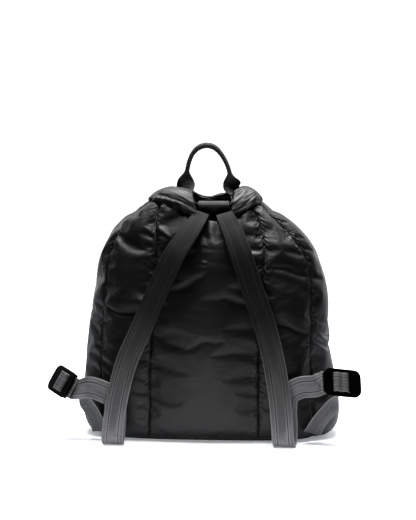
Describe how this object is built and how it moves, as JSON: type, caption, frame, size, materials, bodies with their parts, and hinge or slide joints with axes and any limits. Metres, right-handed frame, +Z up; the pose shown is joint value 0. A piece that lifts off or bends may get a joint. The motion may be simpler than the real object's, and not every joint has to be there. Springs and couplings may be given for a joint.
{
  "type": "quilted puffer backpack",
  "caption": "Soft quilted backpack with a gathered drawstring mouth, webbing shoulder straps with buckles and a haul loop, standing on its base.",
  "frame": {"origin": "middle of the base's flat underside, on the floor", "axes": "+Z up towards the mouth, -Y out of the side that carries the shoulder straps, +X to the right as that side is looked at"},
  "size_m": [0.4397, 0.2043, 0.4135],
  "materials": {
    "shell": "satin black nylon, padded and quilted",
    "webbing": "matt woven black webbing",
    "cord": "braided black cord",
    "buckle": "moulded black plastic"
  },
  "bodies": {
    "root": {"back_right_panel": "shell", "right_gusset": "shell", "front_right_panel": "shell", "front_centre_panel": "shell", "front_left_panel": "shell", "left_gusset": "shell", "back_left_panel": "shell", "back_centre_panel": "shell", "base_panel": "shell", "drawstring_casing": "shell", "drawcord": "cord", "cord_tunnel": "webbing", "haul_loop": "webbing", "left_strap": "webbing", "left_adjuster": "webbing", "left_buckle": "buckle", "right_strap": "webbing", "right_adjuster": "webbing", "right_buckle": "buckle"}
  },
  "joints": []
}
